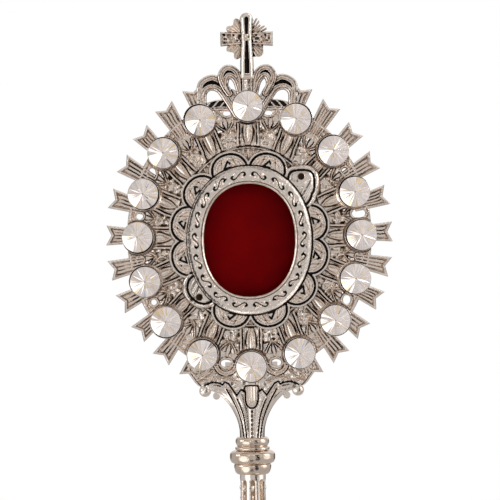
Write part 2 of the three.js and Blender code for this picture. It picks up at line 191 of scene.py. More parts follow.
def add_mesh(name, verts, faces, node, body="stand", slot="silver_plate", smooth=35, cavity=None,
             groove=None):
    """Makes a piece from vertices in mm, riding on a body and standing for a CAD node."""
    mesh = new_mesh(name, verts, faces, MM, MATERIALS[slot])
    mesh.validate()
    for label, values in (("cavity", cavity), ("groove", groove)):
        if values is not None:
            mesh.attributes.new(label, "FLOAT", "POINT").data.foreach_set(
                "value", np.asarray(values, np.float32))
    if smooth > 0:
        mesh.shade_smooth()
        mesh.set_sharp_from_angle(angle=math.radians(smooth))
    obj = new_object(name, mesh)
    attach(obj, body)
    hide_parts(node)
    return obj


def clip_to_outline(tris, points, depth):
    """Cuts a mesh of triangles back to where depth is not negative."""
    inside = depth[tris] >= 0
    count = inside.sum(1)
    some = (depth[tris] > 0).any(1)
    kept = [tris[(count == 3) & some]]
    edges, wanted = [], []
    for want, base in ((2, False), (1, True)):
        rows = (count == want) & some
        chosen, first = tris[rows], np.argmax(inside[rows] == base, 1)
        p, q, r = (chosen[np.arange(len(chosen)), (first + k) % 3] for k in range(3))
        edges += [columns(p, q), columns(p, r)]
        wanted.append((p, q, r))
    unique, which = np.unique(np.sort(np.vstack(edges), 1), axis=0, return_inverse=True)
    a, b = unique.T
    t = depth[a] / where(depth[a] == depth[b], 1, depth[a] - depth[b])
    ids = len(points) + np.arange(len(unique))
    ids = where(depth[a] == 0, a, where(depth[b] == 0, b, ids))
    points = np.vstack([points, points[a] + (points[b] - points[a]) * t[:, None]])
    pq, pr, ab, ac = np.split(ids[which.ravel()], np.cumsum([len(e) for e in edges])[:-1])
    (_, q, r), (i, _, _) = wanted
    kept += [columns(pq, q, r), columns(pq, r, pr), columns(i, ab, ac)]
    tris = np.vstack(kept)
    tris = tris[(tris != np.roll(tris, 1, 1)).all(1)]
    used, tris = np.unique(tris, return_inverse=True)
    return tris.reshape(-1, 3), points[used]


def fill(plan, rim):
    """Triangles that fill a rim, whose edges keep the inside on their left, and the point that
    stands for each point of the plan, since points that meet become one."""
    _, _, tris, origin, _, _ = delaunay_2d_cdt([Vector(p) for p in plan], rim.tolist(), [], 0,
                                               1e-7)
    stands = np.arange(len(plan))
    for points in origin:
        if points:
            stands[points] = points[0]
    came = np.array([points[0] if points else -1 for points in origin])
    tris = came[np.array(tris)]
    tris = tris[(tris >= 0).all(1)].tolist()
    walls = set(map(tuple, stands[rim].tolist()))
    beside = {edge: k for k, (a, b, c) in enumerate(tris) for edge in ((a, b), (b, c), (c, a))}
    waiting = [beside[edge] for edge in walls if edge in beside]
    found = set(waiting)
    while waiting:
        a, b, c = tris[waiting.pop()]
        for u, v in ((a, b), (b, c), (c, a)):
            k = beside.get((v, u), -1)
            if k >= 0 and k not in found and (u, v) not in walls and (v, u) not in walls:
                found.add(k)
                waiting.append(k)
    return np.array([tris[k] for k in sorted(found)]), stands


def relief(name, area, step, outline, front, back, node, body="stand", slot="silver_plate",
           dig=1.0):
    """A casting: front(x, z) is how far it stands out towards -Y inside outline(x, z) > 0, and
    back is the Y of its flat back, or a function like front for its shape towards +Y."""
    x0, x1, z0, z1 = area
    nx, nz = (int(round((hi - lo) / step)) + 1 for lo, hi in ((x0, x1), (z0, z1)))
    gx, gz = np.linspace(x0, x1, nx), np.linspace(z0, z1, nz)
    x, z = np.meshgrid(gx, gz, indexing="ij")
    depth, heights = outline(x, z), front(x, z)
    # How far each place lies under the heights round it, for the tarnish and for the black lines,
    # which are painted shade in narrow grooves.
    mask = (depth > 0).astype(float)
    hollows = []
    for size, deep in ((dig, 1.2), (0.8, 0.6)):
        cells = max(1, int(round(size / step / 2)))
        mean = soften(heights * mask, cells) / maximum(soften(mask, cells), 1e-3)
        hollows.append(unit((mean - heights) / deep))
    # Grid points near the outline move onto it.
    sx, sz = np.gradient(depth, gx, gz)
    s2 = sx**2 + sz**2 + 1e-9
    near = abs(depth) < 0.33 * step * np.sqrt(s2)
    x, z = where(near, x - depth * sx / s2, x), where(near, z - depth * sz / s2, z)
    depth = where(near, 0, depth).ravel()
    idx = np.arange(nx * nz).reshape(nx, nz)
    a, b, c, d = (g.ravel() for g in (idx[:-1, :-1], idx[1:, :-1], idx[1:, 1:], idx[:-1, 1:]))
    turn = ((gx[:-1, None] < 0) != (gz[:-1] < (z0 + z1) / 2)).ravel()
    tris = np.vstack([columns(a, b, where(turn, c, d)),
                      columns(where(turn, a, b), c, d)])
    tris, flat = clip_to_outline(tris, columns(x.ravel(), z.ravel()), depth)
    n = len(flat)
    px, pz = flat.T
    fi, fj = np.clip((px - x0) / step, 0, nx - 1.001), np.clip((pz - z0) / step, 0, nz - 1.001)
    i, j = fi.astype(int), fj.astype(int)
    cavity, groove = (between(g, i, j, fi - i, fj - j) for g in hollows)
    edges = np.vstack([tris[:, [0, 1]], tris[:, [1, 2]], tris[:, [2, 0]]])
    rim = edges[~np.isin(edges @ (n, 1), edges @ (1, n))]
    if callable(back):
        behind = columns(px, back(px, pz), pz)
        below, rear = rim + n, tris[:, ::-1] + n
    else:
        ring, order = np.unique(rim, return_inverse=True)
        order = order.reshape(-1, 2)
        rear, stands = fill(flat[ring], order)
        below, rear = stands[order] + n, rear[:, ::-1] + n
        behind = columns(flat[ring, 0], np.full(len(ring), back), flat[ring, 1])
    walls = columns(rim[:, 1], rim[:, 0], below[:, 0], below[:, 1])
    blank = np.zeros(len(behind))
    return add_mesh(name, np.vstack([columns(px, -front(px, pz), pz), behind]),
                    [*tris.tolist(), *walls.tolist(), *rear.tolist()], node, body, slot,
                    cavity=np.r_[cavity, blank], groove=np.r_[groove, blank])


def circle(sides, turn=0.0):
    """Angles spread evenly round a circle."""
    return (np.arange(sides) + turn) / sides * 2 * math.pi


def ring_y(t, y, a, b, centre=(0, WINDOW_Z)):
    """A round or oval ring of points about a line along Y."""
    return columns(centre[0] + a * np.sin(t), y + 0 * t, centre[1] + b * np.cos(t))


def ring_z(t, z, r, centre=(0, 0)):
    """A ring of points about a line along Z."""
    return columns(centre[0] + r * np.sin(t), centre[1] - r * np.cos(t), z + 0 * t)


def neighbours(sides):
    i = np.arange(sides)
    return i, (i + 1) % sides


def joined(rings, sides, first=0, closed=False):
    """Faces between rings of vertices that follow one another from vertex number first on."""
    i, j = neighbours(sides)
    faces = []
    for k in range(rings if closed else rings - 1):
        a, b = first + k * sides, first + (k + 1) % rings * sides
        faces += columns(a + i, a + j, b + j, b + i).tolist()
    return faces


def spindle(tip, rings, foot):
    """Vertices and faces of rings joined in turn, with a fan to a point at each end."""
    sides = len(rings[0])
    i, j = neighbours(sides)
    verts = np.vstack([tip, *rings, foot])
    last = 1 + (len(rings) - 1) * sides
    return verts, [*columns(0 * i, 1 + j, 1 + i).tolist(), *joined(len(rings), sides, 1),
                   *columns(last + i, last + j, 0 * i + len(verts) - 1).tolist()]


def disc(name, rows, centre, sides, node, dark=None, **rest):
    """A closed piece along Y, from rows of half width, half height and Y, front to back."""
    t = circle(sides)
    tip, foot = ((centre[0], y, centre[1]) for y in (rows[0][2], rows[-1][2]))
    verts, faces = spindle(tip, [ring_y(t, y, a, b, centre) for a, b, y in rows], foot)
    cavity = None if dark is None else np.r_[dark[0], np.repeat(dark, sides), dark[-1]]
    return add_mesh(name, verts, faces, node, cavity=cavity, **rest)


def hoop(name, rings, node, **rest):
    """A piece that closes on itself: rings joined in turn, and the last one to the first."""
    faces = joined(len(rings), len(rings[0]), closed=True)
    return add_mesh(name, np.vstack(rings), faces, node, **rest)


# ---- materials


class Finish:
    """A material being built from nodes."""

    def __init__(self, name):
        self.name, self.material = name, bpy.data.materials.new(name)
        self.material.use_nodes = True
        self.nodes = self.material.node_tree.nodes
        self.links = self.material.node_tree.links

    def wire(self, node, inputs):
        """Gives a node its inputs, each a constant or another node's output."""
        for key, value in inputs.items():
            if isinstance(value, bpy.types.NodeSocket):
                self.links.new(value, node.inputs[key])
            else:
                node.inputs[key].default_value = value
        return node.outputs

    def noise(self, scale, detail=3.0, rough=0.55):
        place = self.nodes.new("ShaderNodeTexCoord").outputs["Object"]
        return self.wire(self.nodes.new("ShaderNodeTexNoise"), {
            "Vector": place, "Scale": scale, "Detail": detail, "Roughness": rough})["Fac"]

    def attribute(self, name):
        node = self.nodes.new("ShaderNodeAttribute")
        node.attribute_name = name
        return node.outputs

    def ramp(self, source, *stops):
        """Colours, or greys given as one number, at places from 0 to 1."""
        node = self.nodes.new("ShaderNodeValToRGB")
        elements = node.color_ramp.elements
        while len(elements) < len(stops):
            elements.new(0.5)
        for element, (at, colour) in zip(elements, stops):
            element.position = at
            element.color = (*np.broadcast_to(colour, 3), 1)
        return self.wire(node, {"Fac": source})["Color"]

    def maths(self, kind, a, b):
        node = self.nodes.new("ShaderNodeMath")
        node.operation = kind
        return self.wire(node, {0: a, 1: b})[0]

    def bump(self, source, strength, distance):
        return self.wire(self.nodes.new("ShaderNodeBump"), {
            "Height": source, "Strength": strength, "Distance": distance})["Normal"]

    def surface(self, inputs):
        self.wire(self.nodes["Principled BSDF"], inputs)
        MATERIALS[self.name] = self.material


MATERIALS = {}

f = Finish("silver_plate")
patchy = f.maths("ADD", f.maths("MULTIPLY", f.noise(700, 4), 0.6), 0.7)
# The cavity attribute is tarnish in hollows, and painted shade inside the stone cups and on the
# sunk rivets' fronts.
tarnish_and_painted_shade = f.maths("MULTIPLY", f.attribute("cavity")["Fac"], patchy)
# Where the groove attribute is high, black is mixed in: painted shade in the reliefs' narrow
# grooves and carved lines.
groove_shade_mix = f.nodes.new("ShaderNodeMix")
groove_shade_mix.data_type = "RGBA"
f.wire(groove_shade_mix, {
    "Factor": f.ramp(f.attribute("groove")["Fac"], (0.4, 0), (0.72, 1)),
    "A": f.ramp(tarnish_and_painted_shade, (0, (0.88, 0.8, 0.74)), (0.22, (0.8, 0.7, 0.62)),
                (0.45, (0.5, 0.35, 0.24)), (0.65, (0.22, 0.12, 0.075)),
                (0.85, (0.03, 0.022, 0.018))),
    "B": (0.025, 0.02, 0.018, 1)})
marks = f.maths("ADD", f.noise(2200), f.noise(250, 5))
f.surface({
    "Base Color": groove_shade_mix.outputs["Result"], "Metallic": 1, "Normal": f.bump(marks, 0.3, 0.00014),
    "Roughness": f.ramp(tarnish_and_painted_shade, (0, 0.16), (0.3, 0.13), (1, 0.5))})

f = Finish("steel")
marks = f.noise(1800, 4)
f.surface({
    "Base Color": f.ramp(marks, (0.3, (0.45, 0.45, 0.4575)), (0.6, (0.6, 0.6, 0.61))),
    "Roughness": f.ramp(marks, (0.3, 0.45), (0.7, 0.3)), "Metallic": 1,
    "Normal": f.bump(marks, 0.2, 0.0001)})

f = Finish("window_glass")
f.surface({
    "Base Color": (0.99, 0.985, 0.98, 1), "Transmission Weight": 1, "IOR": 1.06,
    "Roughness": f.ramp(f.noise(120), (0.4, 0), (0.8, 0.03))})

# Each facet's colour comes from its facet attribute: a pale warm tint of random brightness, and on
# a few facets orange or blue, which is painted rainbow glints.
f = Finish("crystal")
f.surface({
    "Base Color": f.attribute("facet")["Color"], "Metallic": 0.8, "Coat Weight": 1,
    "Coat Roughness": 0.02, "Roughness": f.ramp(f.noise(900, 2), (0.3, 0.04), (0.8, 0.12))})

f = Finish("red_velvet")
pile = f.maths("ADD", f.maths("MULTIPLY", f.noise(5000), 0.8), f.noise(160, 4))
f.surface({
    "Base Color": f.ramp(pile, (0.35, (0.07, 0, 0.0005)), (0.8, (0.094, 0.0002, 0.0008)),
                         (1, (0.112, 0.0005, 0.001))),
    "Roughness": 0.8, "Specular IOR Level": 0, "Sheen Weight": 0.12,
    "Sheen Tint": (0.9, 0.02, 0.02, 1), "Normal": f.bump(pile, 0.3, 0.00015)})

f = Finish("backing_board")
fibres = f.noise(900, 6, 0.7)
f.surface({
    "Base Color": f.ramp(fibres, (0.3, (0.16, 0.1, 0.06)), (0.7, (0.32, 0.23, 0.15))),
    "Roughness": 0.85, "Normal": f.bump(fibres, 0.3, 0.0001)})

f = Finish("floor_paper")
f.surface({"Base Color": FLOOR_COLOUR, "Roughness": 0.9, "Emission Color": FLOOR_COLOUR,
           "Emission Strength": 0.3})

# The solids whose shape already is right keep it and take a finish.
for row in frame["record"]["subparts"]:
    node = frame["nodes"][row["node"]]
    node.data.materials.clear()
    node.data.materials.append(MATERIALS[row["material_slot"]])

# ---- the rays

RAY_TIP = (38.3, 44, 41.5)
RAY_HALF_TIP, RAY_HALF_ROOT, RAY_NOTCH, RAY_LENGTH = 2.7, 1.85, 1.4, 9.5
RAY_ANGLES = [s * (22.9 + 13.1 * k) for k in range(11) for s in (1, -1)]


def in_ray(x, z, degrees):
    """Depth inside a ray, with and without its root, the place across it and along it, and half
    its width there."""
    across, up = math.sin(math.radians(degrees)), math.cos(math.radians(degrees))
    a, above, below = RAY_TIP
    tip = np.array([a * across, up * (above if up > 0 else below)])
    out = tip / hypot(*tip)
    dx, dz = x - tip[0], z - RAYS_Z - tip[1]
    v = dx * out[0] + dz * out[1]
    u = dx * out[1] - dz * out[0]
    half = RAY_HALF_TIP + (RAY_HALF_TIP - RAY_HALF_ROOT) * v / RAY_LENGTH
    lean = RAY_NOTCH / RAY_HALF_TIP
    end = (-RAY_NOTCH + abs(u) * lean - v) / hypot(1, lean)
    depth = minimum(half - abs(u), end)
    return minimum(depth, v + RAY_LENGTH), depth, u, v, half


def rays_front(x, z):
    h = np.full(x.shape, 0.9)
    for number, degrees in enumerate(RAY_ANGLES):
        depth, open_depth, u, v, half = in_ray(x, z, degrees)
        wobble = 0.25 * (grain(v, number, 1.6, 2) - 0.5)
        ray = interp(open_depth, [0, 0.3, 0.62, 0.7, 0.85], [1.3, 1.95, 1.95, 1.38, 1.38])
        lanes = 5 + number % 3 // 2
        place = ((u + wobble) / half * 0.5 + 0.5) * lanes
        line = abs(place - np.clip(np.round(place), 1, lanes - 1)) * 2 * half / lanes
        flat = 1.85 - carved(line, 0.06, 0.7) * (0.35 + 0.65 * grain(place, v, 2.5, number))
        fade = unit((open_depth - 0.85) / 0.08)
        ray = ray * (1 - fade) + flat * fade
        h = where((depth > -0.2) & (ray > h), ray, h)
    return h


relief("sunburst_rays", (-40, 40, 98, 185), 0.13,
       lambda x, z: most(*(in_ray(x, z, d)[0] for d in RAY_ANGLES)), rays_front, -0.06,
       "sunburst", dig=1.2)

# ---- the web

STONE_RING = (29.7, 34.7)
WEB_OUTER = (32.7, 37.3)
WEB_INNER = (17, 20)
LEAF_FROM = (21.4, 24.6)
STONES = 16
STONE_TURN = 360 / STONES
WHOLE_GAPS = (1, 6, 9, 14)
SMALL_OPENING = (0.75, 0.7)
OPENINGS = {3: (1.8, 1.15), 5: (1, 1.15), 7: (1.3, 0.9), 8: (1.4, 0.95), 12: (0.9, 0.7),
            13: (0.95, 1.4)}


def stone_place(k):
    return ring_point(STONE_RING, STONE_TURN * k, STONES_Z)


def crown_holes(x, z):
    return oval(abs(x), z, 1, 0.6, 5.6, 173.1)


def pierced(x, z):
    """Depth inside the small openings between the stones."""
    best = crown_holes(x, z)
    for k in range(STONES):
        if k not in WHOLE_GAPS:
            size = OPENINGS.get(k, SMALL_OPENING)
            best = maximum(best, oval(x, z, *size, *stone_place(k + 0.5)))
    return best


def web_rim(x, z):
    return oval(x, z, *WEB_OUTER, 0, STONES_Z)


def web_outline(x, z):
    under_crown = maximum(abs(x) - 12.2, 173.9 - z)
    return least(-oval(x, z, *WEB_INNER), web_rim(x, z), under_crown, -pierced(x, z))


def polar(x, z):
    """Angle from the top in degrees, the share of the way out from the leaves' foot to the
    stones' ring, the distance from the middle, and how long that way is."""
    dz = z - STONES_Z
    r = maximum(hypot(x, dz), 1e-6)
    foot, ring = (reach_of(*axes, x / r, dz / r) for axes in (LEAF_FROM, STONE_RING))
    return np.degrees(np.arctan2(x, dz)) % 360, (r - foot) / (ring - foot), r, ring - foot


def crescent(x, z):
    """Depth inside the two crescents that hang under the lowest openings."""
    cx, cz = stone_place(7.5)
    return where(z < cz + 0.6, 0.75 - abs(hypot(abs(x) - cx, z - cz) - 2.75), -9.0)


FLEUR = (stroke(((2.5, 7.4), (1.6, 5.8), (0.15, 4.1)), (0.3, 0.26, 0.24)),
         stroke(((2.5, 7.4), (3.1, 7), (3.4, 6.2)), (0.3, 0.28, 0.1)),
         stroke(((0, 4.9), (0, 6.6), (0, 9.3)), (0.2, 0.6, 0.1)))


def step_depth(x, z):
    return oval(x, z, 19.6, 24.05, 0, STONES_Z)


def web_front(x, z):
    plain = x, z
    x, z = (v + 0.22 * (grain(x, z, 1.7, seed) - 0.5) for v, seed in ((x, 21), (z, 22)))
    angle, s, r, span = polar(x, z)
    rough = 0.16 * grain(x, z, 0.8, 3)
    h = 1.3 + rough
    rim = web_rim(x, z)
    h = where(rim < 1.1, interp(rim, [0, 0.3, 0.7, 1.0], [1.0, 1.7, 1.7, 1.1]), h)
    # Leaves, each pointing at a stone, with a straight bar on each side.
    u = r * np.radians((angle + STONE_TURN / 2) % STONE_TURN - STONE_TURN / 2)
    leaf = 1.3 * np.sin(np.pi * unit((s + 0.12) / 0.97)) ** 0.8 - abs(u)
    h = lay(h, leaf, (-0.3, 1.3), (-0.05, 1.08), (0.12, 2.05), (0.45, 2.05), (0.57, 1.45),
            (0.7, 1.6), (1.3, 1.95), only=(s > -0.14) & (s < 0.92))
    h = lay(h, 0.24 - abs(abs(u) - 1.95), (0, 1.3), (0.12, 1.9), only=s < 0.75)
    # Flaring panels between the leaves, with pebbles, a chevron and a spiked end.
    w = r * np.radians(angle % STONE_TURN - STONE_TURN / 2)
    t = s * span
    panel = minimum(abs(u) - 2.95, 7.2 - t)
    lumps = unit(grain(x, z, 0.75, 6) * 2.4 - 0.7)
    h = where(panel > 0, 1.6 - 0.75 * unit((4.5 - t) / 0.6) + 0.5 * lumps, h)
    h = lay(h, 0.34 - abs(abs(u) - 2.72), (-0.14, 1.15), (-0.04, 1.15), (0.13, 2.15),
            only=(t < 7.2) & (t > -1.2))
    for line, halves in FLEUR:
        h = lay(h, band(abs(w), t, line, halves), (-0.14, 1.35), (-0.02, 1.35), (0.13, 2.1))
    # Short curved ribs beyond the panels, and a turned-over lip round each opening.
    curl = abs((t * 0.85 + abs(w) * 0.4) % 1 - 0.5)
    h = where((s > 0.88) & (rim > 1.0) & (panel <= -0.25),
              1.1 + rough + 0.6 * unit(2.6 * curl - 0.6), h)
    h = lay(h, pierced(*plain), (-0.8, 1.1), (-0.55, 1.8), (-0.25, 1.8), (0, 1.1))
    h = lay(h, crescent(*plain), (0, 1.2), (0.3, 2.15), (0.5, 2.15), (0.75, 1.6))
    # A low ring round each stone's cup; the groove and cavity shading paint it dark, as painted
    # contact shadow round the cups.
    near = least(*(hypot(plain[0] - a, plain[1] - b)
                   for a, b in map(stone_place, range(STONES))))
    h = where(near < 4.75, interp(near, [4.3, 4.7], [0.6, 1.0]), h)
    return where(-step_depth(*plain) < 0.35, 0.3, h)


for name, side in (("left", -1), ("right", 1)):
    relief(f"sunburst_web_{name}", (min(0, side * 33.6), max(0, side * 33.6), 102, 178.2), 0.14,
           lambda x, z, side=side: minimum(web_outline(x, z), side * x), web_front, 0,
           "sunburst", dig=1.2)

# The lowest part of the web, which spreads out to meet the socket.


def skirt_outline(x, z):
    flank = interp(z, [99.6, 100.4, 101.2, 103.6, 107], [12.6, 14.3, 15.1, 16.8, 17.6])
    return least((flank - abs(x)) * 0.8, z - 99.7, 106.5 - z, -pierced(x, z))


# The socket's upper edge, with a dark line above it, on one side of the middle.
SOCKET_TOP = ((0, 100.1), (1.6, 100.1), (2, 98.5), (2.75, 99.1), (4, 97.4), (6.2, 100.7),
              (7.1, 101.2), (7.6, 100.4), (8.6, 100.9), (10.2, 101.1), (11.6, 100.8),
              (12.4, 100.3))
SKIRT_LINES = [smooth_line(points) for points in (
    [(4.3, 101.3), (6.4, 102.6), (8.8, 102.6), (10.6, 101.4)],
    [(10.2, 104.3), (11.8, 102.9), (14, 102.3), (16.2, 102.8)],
    [(11.3, 101.7), (12.8, 102.1), (14.8, 101.2)],
    [(12.2, 104.6), (14.4, 103.6), (16.9, 104.2)],
)]


def skirt_front(x, z):
    side = abs(x)
    h = 1.45 + 0.3 * grain(x, z, 0.8, 14)
    for line in SKIRT_LINES:
        h = lay(h, band(side, z, line, 0.1), (-0.5, 1.6), (-0.35, 1.95), (-0.15, 1.95),
                (-0.05, 1.5), (0.03, 1.4))
    h = lay(h, crescent(x, z), (0, 0.9), (0.25, 2.1), (0.5, 2.1), (0.75, 1.6))
    edge = skirt_outline(x, z)
    h = where(edge < 0.65, interp(edge, [0, 0.25, 0.5, 0.65], [1.1, 1.9, 1.9, 1.0]), h)
    return where(band(side, z, SOCKET_TOP, 0.32) > 0, 0.3, h)


relief("sunburst_skirt", (-18, 18, 99.3, 107), 0.14, skirt_outline, skirt_front, -0.2,
       "sunburst")

# The plain oval edge and the small ribs that show between the petals and the web.


def step_front(x, z):
    depth = step_depth(x, z)
    ribs = abs((np.degrees(np.arctan2(x, z - WINDOW_Z)) / 3.2) % 1 - 0.5) * 2
    h = interp(depth, [0, 0.15, 0.45, 0.6], [1.6, 2.35, 2.35, 1.5])
    return where(depth > 0.6, 1.5 + 0.7 * unit(1.6 * ribs - 0.5), h)


relief("sunburst_step", (-21.4, 21.4, 114.8, 164.2), 0.18,
       lambda x, z: least(step_depth(x, z), -oval(x, z, 16.5, 20)), step_front, -0.3, "sunburst")

# ---- the crown of ribbons

CROWN = [(kind, *stroke(points, halves)) for kind, points, halves in (
    ("plain", [(3, 172.5), (6, 172.6), (9.4, 172.7)], (2, 2, 2)),
    ("leaf", [(3, 174.8), (5.6, 175.6), (8.6, 175.6), (11.4, 174.9)], (0.8, 1.15, 1.15, 0.9)),
    ("ribbon", [(2.6, 173), (4.8, 177), (6.8, 180), (9.2, 181.4), (11.4, 180.6),
                (12.2, 178.5), (12.2, 175.4)], (1.5, 1.75, 1.75, 2.15, 1.95, 1.35, 1.3)),
    ("ribbon", [(1.6, 177), (2.4, 181.5), (3.6, 183.7), (5.2, 184.2), (6.3, 182.8),
                (6.1, 180.6), (4.9, 178.4)], (1, 1.3, 1.75, 1.95, 1.7, 1.15, 1)),
)]
CROWN_PROFILES = {
    "plain": ((0, 0.9), (0.3, 1.4), (0.6, 1.4), (0.8, 1), (1.7, 1.1)),
    "leaf": ((0, 0.9), (0.2, 1.8), (0.4, 1.8), (0.5, 0.3), (1.4, 0.25)),
    "ribbon": ((0, 1), (0.2, 1.9), (0.48, 2), (0.54, 1.55), (0.66, 1.55), (0.72, 2),
               (1.1, 2), (1.16, 1.6), (1.26, 1.6), (1.32, 2), (1.62, 2), (1.7, 0.5),
               (2.1, 0.3)),
    "post": ((0, 1), (0.25, 1.7), (0.55, 1.75), (0.7, 1.3), (1.6, 1.5)),
}


def crown_parts(x, z):
    parts = [(kind, band(side * x, z, line, halves))
             for kind, line, halves in CROWN for side in (1, -1)]
    parts.append(("post", least(1.6 - abs(x), 184.0 - z, z - 171)))
    parts.append(("filling", band(x, z, [(-3.2, 177), (-4.2, 178.3)], 1.3)))
    return parts


def crown_front(x, z):
    h = np.full(x.shape, 0.9)
    for kind, depth in crown_parts(x, z):
        if kind == "filling":
            h = where((depth > 0) & (h < 1), 1.5, h)
            continue
        h = lay(h, depth, *CROWN_PROFILES[kind])
        if kind == "leaf":
            vein = abs((abs(x) * 0.8 + z * 0.7) % 1.5 - 0.75)
            h = where((depth > 0.4) & (vein < 0.28), 1.7, h)
    return h + 0.08 * grain(x, z, 0.5, 9)


relief("sunburst_crown", (-14, 14, 169.5, 186.5), 0.1,
       lambda x, z: least(most(*(d for _, d in crown_parts(x, z))), -crown_holes(x, z)),
       crown_front, -0.12, "sunburst", dig=0.9)

# ---- the cross

CROSS_Z = 193.0


def cross_bars(x, z):
    flare = 1.55 + 0.28 * unit((abs(z - CROSS_Z) - 1) / 6)
    crown = oval(x, z, 1.85, 2.2, 0, 197.8)
    upright = least(flare - abs(x), where(z > 197.8, crown, 9), z - 182.0)
    flare = 1.6 + 0.32 * unit((abs(x) - 1) / 6)
    return upright, minimum(flare - abs(z - CROSS_Z), 7.0 - abs(x))


def glimmers(x, z):
    """Depth inside the small fans of rays, whose lower right one is a plain block, and the
    distance from the nearest ray's middle."""
    r, angle = hypot(x, z - CROSS_Z), np.degrees(np.arctan2(x, z - CROSS_Z))
    long = 5.7 + 0.5 * np.cos(np.radians(angle * 12))
    gap = abs(((angle - 45) / 9.0 + 0.5) % 1 - 0.5) * np.radians(9) * r
    depth = minimum(long - r, (31 - abs(angle % 90 - 45)) * np.radians(1) * r)
    right = x > 0
    split = where(right & (r > 4.2), 0.25 - gap, depth)
    block = least(4.4 - x, z - CROSS_Z + 4.8, 6.0 - r)
    return where(right & (z < CROSS_Z), block, minimum(depth, split)), gap


def cross_front(x, z):
    upright, arms = cross_bars(x, z)
    h = where(x > 0, 0.9, 1.25) + 0.45 * unit(1 - glimmers(x, z)[1] / 0.3)
    floor = 1.2 + 0.8 * unit(grain(x, z, 0.5, 42) * 2 - 0.5)
    rim = interp(arms, [0, 0.25, 0.5, 0.7], [1.1, 2.1, 2.1, 1.2])
    fade = unit((arms - 0.6) / 0.1)
    h = where(arms > 0, rim * (1 - fade) + floor * fade, h)
    h = lay(h, upright, (0, 1.2), (0.25, 2.25), (0.5, 2.1), (0.8, 2.35), (1.2, 2.35), (1.32, 0.5),
            (1.9, 0.3))
    crossing = abs(z - CROSS_Z - 0.3) < 0.9
    return where(crossing & (upright > 0.7), 1.3 + 0.9 * grain(x, z, 0.5, 41), h)


relief("cross_finial", (-7.6, 7.6, 181.2, 200.2), 0.085,
       lambda x, z: most(*cross_bars(x, z), glimmers(x, z)[0]), cross_front, 0, "cross", dig=0.7)

# ---- the petal frame

PETAL_MIDDLE = (16.6, 19.4)
PLAIN_PETALS = (1, 7)
PETALS = []
for k in range(12):
    cx, cz = ring_point(PETAL_MIDDLE, 30 * (k + 0.5), WINDOW_Z)
    PETALS.append((k, cx, cz, math.atan2(cx, cz - WINDOW_Z)))
BEZEL_OUTER, BEZEL_INNER = (16.6, 19.8), (12.15, 15)
RIVETS = {1: (14, WINDOW_Z + 16.8), 7: (-13.6, WINDOW_Z - 15)}


def petal_place(x, z, cx, cz, lean):
    dx, dz = x - cx, z - cz
    return dx * math.cos(lean) - dz * math.sin(lean), dx * math.sin(lean) + dz * math.cos(lean)


def petals_depth(x, z):
    best = maximum(oval(x, z, *PETAL_MIDDLE), oval(x, z, 5, 5, 14, WINDOW_Z + 15, 2.8))
    for _, *place in PETALS:
        best = maximum(best, oval(*petal_place(x, z, *place), 5.7, 5.4, 0, 0, 2.1))
    return best


def petal_outline(x, z):
    holes = [-oval(x, z, 0.62, 0.62, *at) for at in RIVETS.values()]
    return least(petals_depth(x, z), -oval(x, z, 15.2, 18.2), *holes)


def petal_front(x, z):
    edge = petals_depth(x, z)
    h = interp(edge, [0, 0.2, 0.72, 0.8, 1.15, 1.25, 1.6, 1.75, 1.95, 2.3, 2.5, 2.7],
               [2.5, 4, 4, 2.5, 2.5, 3.95, 3.95, 3.55, 3.85, 3.85, 3.5, 3.8])
    for k, *place in PETALS:
        u, v = petal_place(x, z, *place)
        mine = (abs(u) < 5.3) & (abs(v) < 5.6)
        if k in PLAIN_PETALS:
            mine = mine | ((k == 1) & (x > 10) & (z > WINDOW_Z + 10))
            plain = interp(edge, [0, 0.3, 0.7, 1.25, 1.35, 1.7, 1.8, 2.3, 4.5],
                           [2.6, 3.6, 4, 3.9, 2.5, 2.5, 3.8, 3.55, 3.35])
            ripples = 0.12 * np.cos(4.2 * u + v) * unit((edge - 2.2) / 0.6) * (u > 0.3)
            h = where(mine & (edge > 0), plain + ripples, h)
            h = lay(h, oval(x, z, 1, 1, *RIVETS[k]), (0, 3.4), (0.2, 3.3), (0.4, 2.4))
            continue
        pit = minimum((2.9 - v) * 0.6 - abs(u) * 0.8, v - 0.7)
        streak = carved(abs(abs(u) * 0.9 + v * 0.25 - 2.1), 0.06, 0.35)
        h = where(mine & (edge > 1.8) & (pit <= -0.4), h - streak, h)
        h = where(mine & (pit > -0.4) & (pit <= 0), 3.98, h)
        sunk = where(u < 0.5, 2.5, 3.3)
        h = where(mine & (pit > 0), 3.6 - (3.6 - sunk) * unit((0.42 - pit) / 0.1), h)
    moat = -oval(x, z, *BEZEL_OUTER, power=2.1)
    h = where((moat > -0.1) & (moat < interp(x, [-14, -8], [0.14, 0.34])), 2.5, h)
    return h + 0.1 * (grain(x, z, 0.9, 31) - 0.5)


relief("petal_frame_cast", (-22.6, 22.6, 114, 164.4), 0.14, petal_outline, petal_front, -PLATE_T,
       "petal_frame")

# ---- the bezel

SCROLLS = 18
SCROLL_LENGTH = 5.55
# One half of an S, from the middle of it out to its hook, and the ridge that follows it.
SCROLL = stroke([(0, 0), (0.75, -0.62), (1.5, -0.7), (1.85, -0.15), (1.45, 0.15)],
                (0, 0.04, 0.08, 0.2, 0.16), 5)
SCROLL_RIDGE = smooth_line([(0, 0.4), (0.8, -0.15), (1.35, -0.2), (0.9, 0.7)], 5)


def bezel_depth(x, z):
    return oval(x, z, *BEZEL_OUTER, power=2.1), -oval(x, z, *BEZEL_INNER, power=2.2)


def along_oval(a, b, angle):
    """Share of the way round an ellipse at polar angles in radians."""
    t = np.linspace(-math.pi, math.pi, 721)
    polar_t = np.unwrap(np.arctan2(a * np.sin(t), b * np.cos(t)))
    run = np.r_[0, np.cumsum(hypot(np.diff(a * np.sin(t)), np.diff(b * np.cos(t))))]
    return interp(angle, polar_t, run / run[-1])


